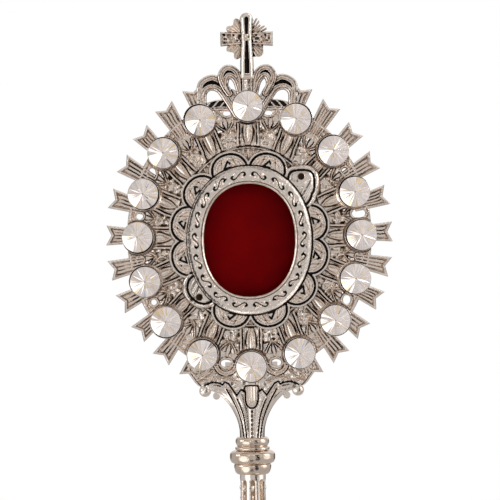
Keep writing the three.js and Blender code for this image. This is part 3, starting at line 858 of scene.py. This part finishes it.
def bezel_front(x, z):
    outer, inner = bezel_depth(x, z)
    h = interp(outer, [0, 0.2, 0.75], [4.9, 5.75, 5.6])
    h = where(inner < 0.85, interp(inner, [0, 0.35, 0.5, 0.58, 0.7, 0.8],
                                   [5.4, 5.78, 5.78, 5.2, 5.2, 5.6]), h)
    width = outer + inner
    v = (inner / width - 0.5) * width
    share = along_oval(14.4, 17.4, np.arctan2(x, z - WINDOW_Z))
    u = (share * SCROLLS % 1 - 0.5) * SCROLL_LENGTH
    u = where(x > 0, u, -u)
    ground = 5.5 + 0.14 * grain(x, z, 0.7, 5)
    for side in (1, -1):
        ridge = band(side * u, side * v, SCROLL_RIDGE, 0.22)
        ground = where(ridge > 0, 5.55 + minimum(ridge, 0.15) * 1.6, ground)
        # The S line is carved deep so that the groove shading paints it black: painted shadow
        # beside the ridge.
        line = band(side * u, side * v, *SCROLL)
        ground = where(line > -0.06, 5.45 - 0.75 * unit((line + 0.06) / 0.08), ground)
    return where(minimum(outer, inner) > 0.82, ground, h)


relief("window_bezel_cast", (-17, 17, 119, 159.3), 0.12,
       lambda x, z: least(*bezel_depth(x, z)), bezel_front, -PETAL_FRONT, "window_bezel")

# ---- stones and cups

rng = np.random.default_rng(SEED)
# The cup's section from the middle of its floor, up inside, over the lip and down to its base.
CUP_SECTION = ((4.15, 0.5), (4.15, 1.7), (4.18, 1.85), (4.24, 1.92), (4.3, 1.88), (4.33, 1.75),
               (4.3, 1.5), (4.32, 0.2), (4.2, 0))
BACK_TINT = (0.5, 0.48, 0.46)


def stone(number, centre):
    """A pointed stone: two rows of facets that meet in a tiny flat, over a foiled back."""
    sides = 36
    t = circle(sides, rng.random())

    def ring(r, y, shift=0.0, wobble=0.0):
        out = PLATE_T + y + wobble * rng.standard_normal(sides)
        return ring_y(t + shift * 2 * math.pi / sides, -out, r, r, centre)

    rings = [ring(0.25, 3.95), ring(1.8, 3.2, 0.5, 0.06), ring(4, 2.15, 0, 0.045),
             ring(4.1, 1.95), ring(1.2, 0.75)]
    tip, foot = ((centre[0], -(PLATE_T + y), centre[1]) for y in (3.95, 0.55))
    verts, faces = spindle(tip, rings, foot)
    (a, b, c), (d, e, f) = ((1 + k, 1 + k + sides, 1 + k + 2 * sides) for k in neighbours(sides))
    faces[sides:3 * sides] = np.vstack([np.stack(corners, 1) for corners in (
        (a, d, b), (d, e, b), (b, f, c), (b, e, f))]).tolist()
    obj = add_mesh(f"stone_{number}", verts, faces, f"crystal_{number}", slot="crystal", smooth=0)
    tints_and_painted_glints = obj.data.attributes.new("facet", "FLOAT_COLOR", "FACE")
    for k, item in enumerate(tints_and_painted_glints.data):
        if not sides <= k < 5 * sides:
            item.color = (*BACK_TINT, 1)
            continue
        colour = (0.8 + 0.2 * rng.random()) * np.array([1, 0.91, 0.88])
        # A few facets are tinted orange or blue: painted rainbow glints.
        hue = rng.random()
        if hue < 0.08:
            colour *= (1, 0.85, 0.55)
        elif hue < 0.11:
            colour *= (0.75, 0.88, 1)
        item.color = (*colour, 1)


for k in range(STONES):
    number = f"{k + 1:02d}"
    lo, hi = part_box(f"crystal_cup_{number}")
    middle = np.array([(lo.x + hi.x) / 2, (lo.z + hi.z) / 2]) / MM
    # The floor and inner wall of each cup are painted dark: painted shade under the stone, which
    # shows in the gap round it.
    disc(f"cup_{number}", [(r, r, -(PLATE_T + y)) for r, y in CUP_SECTION], middle, 64,
         f"crystal_cup_{number}", dark=[0.9] * 2 + [0] * 7, smooth=40)
    stone(number, middle + 0.12 * rng.standard_normal(2))

# ---- the leaf socket

SOCKET_SIDE = smooth_line([
    (3.3, 86.4), (3.45, 89), (4.3, 92), (6.2, 95.4), (8.9, 98.1), (12.2, 99.6)])
BALLS = ((12.4, 99, 1.6), (9.4, 97.6, 0.95))
# Carved lines, on one side of the middle: the sheath's edge, the leaf inside it and its tip.
SOCKET_LINES = [smooth_line(points) for points in (
    [(2.2, 86.4), (2.9, 90.9), (4.5, 95.3), (6.7, 99.4)],
    [(1.5, 86.4), (1.75, 89), (2.4, 92.9), (4.1, 97.2), (6.2, 100.6)],
    [(4.1, 97.2), (3.4, 98.5), (2.75, 99.1), (2.1, 98.4)],
    [(7.3, 101), (7.6, 100.3), (9.3, 100.5), (11.4, 101.1)],
)]


def socket_half(z):
    return interp(z, SOCKET_SIDE[:, 1], SOCKET_SIDE[:, 0])


def socket_outline(x, z):
    x = abs(x)
    half = where(z > 99.6, 12.4 - (z - 99.6), socket_half(z))
    slope = interp(z, [86, 90, 93, 96, 98, 99.6], [0, 0.15, 0.45, 0.9, 1.6, 2])
    body = least((half - x) / hypot(1, slope), z - 86.5, 101.2 - z)
    tongue = least(7 - x, 106.5 - z, z - 100)
    return most(body, tongue, *(r - hypot(x - bx, z - bz) for bx, bz, r in BALLS))


def socket_core(x, z):
    """Half the thickness before carving: round at the neck, flat towards the sunburst."""
    neck = unit((z - 87) / 10)
    half = maximum(socket_half(z), 1)
    roundness = np.sqrt(unit(1 - (abs(x) / (half + 0.02)) ** 2))
    return 3.3 * roundness * (1 - neck) + (1.6 + 0.9 * roundness) * neck


def with_balls(y, side, z, base, share):
    """Lays the balls at the socket's corners over its heights."""
    for bx, bz, r in BALLS:
        ball = r * r - (side - bx) ** 2 - (z - bz) ** 2
        y = where(ball > 0, maximum(y, base + np.sqrt(maximum(ball, 0)) * share), y)
    return y


def socket_front(x, z):
    side = abs(x)
    core = socket_core(x, z)
    half = where(z > 99.6, 12.4, socket_half(z))
    carve = 0.12 * np.cos(side / maximum(half, 0.1) * 16) * (z < 99)
    for line in SOCKET_LINES:
        carve = lay(carve, band(side, z, line, 0.1), (-0.35, 0.15), (-0.2, 0.25), (-0.06, 0.2),
                    (0.02, -0.7))
    leaf = band(side, z, [(5.2, 98.6), (6.4, 100)], 0.4)
    carve = where(leaf > 0, -0.5 + 0.5 * grain(x, z, 0.45, 17), carve)
    # The hanging bud, its outline and its hollow.
    bud = where(z > 96.5, 1.75 - side, oval(side, z, 1.75, 2.3, 0, 96.5))
    carve = lay(carve, bud, (-0.25, 0.2), (-0.1, 0.15), (0, -0.7), (0.22, -0.7), (0.32, 0.35),
                (0.7, 0.4), (0.85, 0), (1.3, -0.2), (1.75, 0.1), only=z < 100)
    # Pricked dashes down the middle, and a plain raised edge along the top.
    dash = minimum(0.26 - side, 0.34 - abs((z - 87) % 1.15 - 0.58))
    carve = where((dash > -0.05) & (z < 94), -0.6, carve)
    y = core + carve * unit((half - side) / 0.5)
    above = z - interp(side, *zip(*SOCKET_TOP))
    away = -band(side, z, SOCKET_TOP, 0)
    y = where((above <= 0) & (away < 0.4) & (side > 2), core + 0.3, y)
    y = where(above > 0, 1.5 + 0.3 * grain(x, z, 0.8, 18) - carved(away, 0.22, 0.9), y)
    return where(z > 101.6, -0.02, with_balls(y, side, z, 0.5, 1))


def socket_back(x, z):
    y = socket_core(x, z) * where(z > 97, np.clip(1 - (z - 97) / 12, 0.5, 1), 1)
    return minimum(with_balls(y, abs(x), z, 0.3, 0.8), where(z > 95, 1.6, 9))


relief("leaf_socket_cast", (-14.4, 14.4, 86.2, 106.8), 0.12, socket_outline, socket_front,
       socket_back, "leaf_socket")

# The two sunk rivets that hold the petal frame, their fronts painted dark as the shade in the
# holes they sit in.
for node in ("frame_rivet_upper", "frame_rivet_lower"):
    lo, hi = (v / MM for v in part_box(node))
    r = (hi.x - lo.x) / 2
    rows = ((r * 0.3, lo.y), (r * 0.8, lo.y + 0.08), (r, lo.y + 0.25), (r, hi.y - 0.1),
            (r * 0.5, hi.y))
    disc(f"{node}_head", [(a, a, y) for a, y in rows], ((lo.x + hi.x) / 2, (lo.z + hi.z) / 2), 32,
         node, dark=[1] * 2 + [0] * 3)

# ---- stem, knop and foot

BORE = 1.4
RING_SHADE = 0.28
FLUTES, FLUTE_SHARE, FLUTE_LOW, FLUTE_TOP = 8, 0.36, 45, 75.3


def turned(name, node, heights, sides, radius, shade):
    """A bored piece turned about the stem's axis; radius and shade depend on angle and height."""
    t = circle(sides)
    rings = [ring_z(t, heights[0], BORE), *(ring_z(t, z, radius(t, z)) for z in heights),
             ring_z(t, heights[-1], BORE)]
    shades = [0 * t, *(shade(t, z) + 0 * t for z in heights), 0 * t]
    hoop(name, rings, node, cavity=np.concatenate(shades))


def ring_piece(node, points, rows=36):
    line = smooth_line(points, 5)
    line = line[np.argsort(line[:, 1], kind="stable")]
    turned(f"{node}_turned", node, np.linspace(points[0][1], points[-1][1], rows), 128,
           lambda t, z: interp(z, line[:, 1], line[:, 0]), lambda t, z: RING_SHADE)


def shaft_core(z):
    return interp(z, [43, 51, 64, 76.5], [4.5, 4.1, 3.6, 3.45])


def shaft_radius(t, z):
    base = shaft_core(z)
    girth = 2 * math.pi * base / FLUTES
    u = ((t / (2 * math.pi) * FLUTES + 0.5) % 1 - 0.5) * girth
    panel_half = FLUTE_SHARE * girth
    spring = z - (FLUTE_TOP - panel_half)
    arch = hypot(u, spring) if spring > 0 else abs(u)
    depth = minimum(panel_half - arch, z - FLUTE_LOW)
    carve = interp(depth, [0, 0.25, 0.5], [0, -0.3, -0.35])
    bead = 0.5 - hypot(u, (z - 72.9) * 0.55)
    drop = 0.3 - hypot(u, (z - 70.3) * 0.35)
    rib = where((depth > 0.25) & (z < 68.5), 0.25 * unit(1 - abs(u) / 0.18), 0)
    return base + carve + np.clip(maximum(bead, drop) * 1.2, 0, 0.45) + rib


def shaft_shade(t, z):
    return np.clip((shaft_core(z) - shaft_radius(t, z) - 0.12) * 2.2, 0, 0.75)


ring_piece("knop_upper_collar",
           [(4, 82.8), (4.55, 83.1), (4.6, 83.7), (4, 84), (4.2, 84.3), (4.5, 85),
            (4.45, 85.8), (4, 86.4), (3.6, 86.5)])
ring_piece("knop", [(5, 79.4), (5.7, 79.8), (6.05, 80.6), (6.1, 81.3), (6, 82.1), (5.5, 82.6),
                    (5.1, 82.8)])
ring_piece("knop_lower_collar",
           [(3.6, 76.5), (4.1, 76.6), (4.6, 77.1), (4.9, 78), (5, 78.8), (4.8, 79.3),
            (4.6, 79.4)])
turned("stem_shaft_fluted", "stem_shaft", np.linspace(43, 76.5, 200), 160, shaft_radius,
       shaft_shade)
ring_piece("stem_node",
           [(4, 33.5), (4.8, 33.8), (5, 34.6), (4.5, 35.1), (6.2, 36.2), (7.3, 38),
            (7.35, 39.2), (6.2, 40.9), (4.6, 41.7), (5, 42), (5, 42.6), (4.6, 43)], 60)
ring_piece("foot_collar", [(4.8, 30), (5.4, 30.3), (5.5, 31.2), (4.8, 31.8), (5.2, 32.2),
                           (5.3, 32.9), (4.6, 33.5)], 40)

FOOT_LINE = smooth_line([
    (36, 0), (36, 2), (35, 3), (32.6, 3.5), (31.8, 5), (30, 7.4), (26, 10.2), (21, 12.4),
    (15.2, 14.8), (10.6, 17.6), (7.6, 21.6), (6.2, 26), (5.6, 30)], 12)
FOOT_HOLLOW = (
    (1.4, 30), (1.6, 25), (4.3, 25), (5.8, 21), (9, 16), (14.4, 12.4), (20.4, 9.9), (25, 8),
    (28.6, 5.8), (30.6, 3.4), (32.4, 1.6), (32.6, 0))
# Lobes round a stepped rim, sixteen leaf-ended panels on the dome, and the hollow under it.
t = circle(320)
lobe, panel = (abs(t / (2 * math.pi) * count % 1 - 0.5) * 2 for count in (32, 16))
rings, shade = [], []
for r, z in FOOT_LINE:
    lift = dark = 0 * t
    if 4.0 < z < 9.6:
        fade = math.sin(math.pi * (z - 4) / 5.6) ** 0.7
        lift, dark = -0.55 * fade * lobe**3, fade * np.clip(lobe * 2.2 - 1.2, 0, 0.9)
    elif 10.4 < z < 20:
        edge = math.sin(math.pi * (z - 10.4) / 9.6) ** 0.6 * 0.86 - panel
        lift = interp(edge, [-0.1, 0, 0.12, 0.24], [0, 0.3, 0.3, -0.2])
        dark = interp(edge, [0.1, 0.26, 0.5], [0, 0.75, 0.4])
    elif 21 < z < 29:
        fade = math.sin(math.pi * (z - 21) / 8)
        lift, dark = -0.25 * fade * panel**2, 0.5 * fade * unit(panel * 2 - 1)
    rings.append(ring_z(t, z + lift * (0.9 if z < 20 else 0), r + lift * 0.4))
    shade.append(dark)
for r, z in FOOT_HOLLOW:
    rings.append(ring_z(t, z, r))
    shade.append(0 * t + (0.35 if z < 25 else 0))
hoop("foot_cast", rings, "foot", cavity=np.concatenate(shade))

# ---- the back

CASE_OVAL = (17.5, 20.5)
HINGE_AT, HINGE_HOLE = (-19, 6.2), 0.65
BUTTON_AT = (19, WINDOW_Z + 8)


def door_outline(x, z):
    tab = least(x - 14, 20.5 - x, 3 - abs(z - WINDOW_Z))
    leaf = least(x + 18.1, -14 - x, 1.6 - abs(z - WINDOW_Z))
    return most(oval(x, z, *CASE_OVAL), tab, leaf)


def door_face(x, z):
    depth = oval(x, z, *CASE_OVAL)
    groove = minimum(abs(depth - 1.6), abs(depth - 2.4))
    return where(depth > 1.2, 6.8 - 0.3 * unit(1 - groove / 0.3),
                 interp(door_outline(x, z), [0, 0.25], [6.6, 6.8]))


relief("rear_door_plate", (-18.3, 20.8, 118, 160), 0.2, door_outline,
       lambda x, z: np.full(np.shape(x), -5.6), door_face, "rear_door", "door")

hoop("rear_case_wall", [ring_y(circle(240), y, a, b) for a, b, y in (
    (*CASE_OVAL, 0), (*CASE_OVAL, 0.8), (17.2, 20.2, 1.1), (17.2, 20.2, 4.2), (*CASE_OVAL, 4.5),
    (*CASE_OVAL, 5.4), (17.4, 20.4, 5.5), (16.4, 19.4, 5.5), (16.3, 19.3, 5.4),
    (16.3, 19.3, 0))], "rear_case")

for name, low, node, body in (("door_knuckle", -1.6, "rear_door", "door"),
                              ("case_knuckle_upper", 1.75, "rear_case", "stand"),
                              ("case_knuckle_lower", -4.95, "rear_case", "stand")):
    z0, z1 = WINDOW_Z + low, WINDOW_Z + low + 3.2
    hoop(name, [ring_z(circle(48), z, r, HINGE_AT) for r, z in (
        (HINGE_HOLE, z0), (1.1, z0), (1.2, z0 + 0.12), (1.2, z1 - 0.12), (1.1, z1),
        (HINGE_HOLE, z1))], node, body=body)


def bevelled_box(name, xs, ys, middle, half, bevel):
    """A small block with rounded edges, fixed to the case."""
    corners = [(x, y, z) for x in xs for y in ys for z in (middle - half, middle + half)]
    quads = [(0, 1, 3, 2), (4, 6, 7, 5), (0, 4, 5, 1), (2, 3, 7, 6), (0, 2, 6, 4), (1, 5, 7, 3)]
    mod = add_mesh(name, corners, quads, "rear_case", smooth=50).modifiers.new("round", "BEVEL")
    mod.width, mod.segments = bevel * MM, 3


bevelled_box("case_leaf_upper", (-19.3, -16.6), (4.4, 5.4), WINDOW_Z + 3.35, 1.6, 0.2)
bevelled_box("case_leaf_lower", (-19.3, -16.6), (4.4, 5.4), WINDOW_Z - 3.35, 1.6, 0.2)
bevelled_box("button_arm", (15.4, 19.6), (0, 5.3), BUTTON_AT[1], 1.2, 0.3)
hoop("button_post", [ring_y(circle(48), y, r, r, BUTTON_AT) for r, y in (
    (1.5, 0), (1.6, 0.3), (1.6, 6.5), (1.45, 6.8), (0.65, 6.8), (0.65, 0))], "rear_case")


def button_outline(x, z):
    bar = band(x, z, [BUTTON_AT, (27.1, BUTTON_AT[1])], [1.3, 1.2])
    return minimum(bar, -oval(x, z, 0.65, 0.65, *BUTTON_AT))


relief("turn_button_bar", (17.2, 29, BUTTON_AT[1] - 1.8, BUTTON_AT[1] + 1.8), 0.12,
       button_outline, lambda x, z: np.full(np.shape(x), -6.9),
       lambda x, z: interp(button_outline(x, z), [0, 0.3], [7.6, 7.9]),
       "turn_button", "turn_button", dig=0.8)

# ---- glass and velvet

EASE = 0.12


def slab(name, a, b, y0, y1, node, body, slot):
    """A flat oval slab with eased edges."""
    rows = [(a - EASE, b - EASE, y0), (a, b, y0 + EASE), (a, b, y1 - EASE),
            (a - EASE, b - EASE, y1)]
    disc(name, rows, (0, WINDOW_Z), 200, node, body=body, slot=slot)


slab("window_pane", 14.4, 17.4, -4, -3, "window_glass", "stand", "window_glass")
slab("pad_board_card", 14.2, 17.2, 4.6, 5.6, "pad_board", "door", "backing_board")


def pad_outline(x, z):
    return oval(x, z, 14.15, 17.15)


def pad_front(x, z):
    depth = pad_outline(x, z)
    crown = (1 - (1 - unit(depth / 14)) ** 6) * 1.5
    edge = 1 - unit(1 - depth / 1.2) ** 2
    return -4.6 + 4.6 * edge + crown + 0.05 * grain(x, z, 3, 11)


pad = relief("velvet_pad_soft", (-14.6, 14.6, 121.5, 156.7), 0.25, pad_outline, pad_front, 4.6,
             "velvet_pad", "door", "red_velvet")

# ---- floor, tent and world

FLOOR_RADIUS, FLOOR_Z = 0.6, -0.0002
TENT_RADIUS = 1.5
TENT_GLOW = 0.555
# Each light or dark patch: the direction towards it, its inner and outer angles, and its strength.
TENT_LIGHTS = (
    ((1, -0.15, 0.1), 10, 26, 0.9),
    ((0.1, 0.1, 1), 20, 60, 0.2),
    ((-0.72, -0.64, -0.27), 22, 29, 1.1),
    ((0.17, -1, 0), 4, 12, 0.12),
    ((-0.35, -1, 0.4), 5, 9, 1.6),
    ((0.12, -1, 0.62), 5, 9, 1.4),
    ((-0.55, -1, -0.1), 3, 7, 1),
    ((0.78, -1, 0.2), 5, 9, 1.4),
    ((0.2, 1, 0.5), 10, 40, 0.35),
)
TENT_DARKS = (
    ((0.42, -1, 0.75), 8, 13, 0.1),
    ((0.49, -1, 0.38), 10, 14, 0.02),
    ((0.56, -1, 0), 9, 13, 0.02),
    ((0.5, -1, -0.38), 10, 14, 0.02),
    ((-0.1, -1, -0.6), 8, 14, 0.3),
    ((0.6, 1, 0), 8, 16, 0.15),
    ((-0.7, 1, 0.1), 8, 18, 0.3),
)


def staged(name, verts, faces, radius, material):
    obj = new_object(name, new_mesh(name, verts, faces, radius, material))
    return obj


def tent_cloth():
    """Light that depends on the place on the tent: pale cloth, bright panels and dark gaps."""
    f = Finish("tent_cloth")
    f.nodes.remove(f.nodes["Principled BSDF"])
    place = f.nodes.new("ShaderNodeTexCoord").outputs["Object"]
    split = f.wire(f.nodes.new("ShaderNodeSeparateXYZ"), {0: place})
    axes = [f.maths("DIVIDE", split[k], TENT_RADIUS) for k in range(3)]

    def spot(direction, inner, outer, inside, outside):
        """A value that goes from inside to outside between two angles from a direction."""
        side, away, up = (f.maths("MULTIPLY", axis, d)
                          for axis, d in zip(axes, Vector(direction).normalized()))
        node = f.nodes.new("ShaderNodeMapRange")
        node.interpolation_type = "SMOOTHSTEP"
        return f.wire(node, {
            "Value": f.maths("ADD", side, f.maths("ADD", away, up)),
            "From Min": math.cos(math.radians(outer)), "From Max": math.cos(math.radians(inner)),
            "To Min": outside, "To Max": inside})["Result"]

    total = TENT_GLOW
    for patch in TENT_LIGHTS:
        total = f.maths("ADD", spot(*patch, 0), total)
    for patch in TENT_DARKS:
        total = f.maths("MULTIPLY", spot(*patch, 1), total)
    glow = f.wire(f.nodes.new("ShaderNodeEmission"),
                  {"Color": (1, 0.97, 0.94, 1), "Strength": total})
    f.wire(f.nodes["Material Output"], {"Surface": glow[0]})
    return f.material


floor = staged("floor", ring_z(circle(96), FLOOR_Z / FLOOR_RADIUS, 1), [range(96)], FLOOR_RADIUS,
               MATERIALS["floor_paper"])
floor.visible_glossy = False

t = circle(48)
verts, faces = spindle((0, 0, -1), [ring_z(t, math.sin(lat), math.cos(lat)) for lat in (
    math.pi * (k / 24 - 0.5) for k in range(1, 24))], (0, 0, 1))
tent = staged("tent", verts, faces, TENT_RADIUS, tent_cloth())
tent.visible_camera = tent.visible_shadow = tent.visible_transmission = False

world = bpy.data.worlds.new("studio")
bpy.context.scene.world = world
world.use_nodes = True
background = world.node_tree.nodes["Background"]
background.inputs["Color"].default_value = (1.0, 1.0, 1.0, 1)
background.inputs["Strength"].default_value = 1.0

# ---- lights and camera

AIM = Vector((0, 0, 0.14))
CAMERA_AT, ROLL = (0.0001, -0.65, 0.1365), math.radians(0.82)
VIEW_WIDTH, SENSOR, FRONT_Y = 0.13333, 36, -0.003


def light(name, place, size, power, colour=(1, 1, 1)):
    data = bpy.data.lights.new(name, "AREA")
    data.shape, data.size, data.size_y = "RECTANGLE", *size
    data.energy, data.color = power, colour
    obj = new_object(name, data)
    obj.location = place
    obj.rotation_mode = "QUATERNION"
    obj.rotation_quaternion = (AIM - Vector(place)).to_track_quat("-Z", "Y")
    obj.visible_camera = False
    return obj


light("key_right", (0.65, -0.1, 0.4), (0.3, 0.3), 0.9, (1, 0.98, 0.95))
light("fill_left", (-0.65, -0.1, 0.3), (0.25, 0.3), 0.5)
light("pad_right", (0.62, -0.3, 0.22), (0.2, 0.3), 3.2).visible_glossy = False

data = bpy.data.cameras.new("camera")
data.sensor_width = SENSOR
data.lens = SENSOR * (FRONT_Y - CAMERA_AT[1]) / VIEW_WIDTH
data.clip_start, data.clip_end = 0.01, 20
camera = new_object("camera", data)
camera.location = CAMERA_AT
camera.rotation_euler = (math.pi / 2, ROLL, 0)
bpy.context.scene.camera = camera
bpy.context.scene.view_settings.view_transform = "Standard"
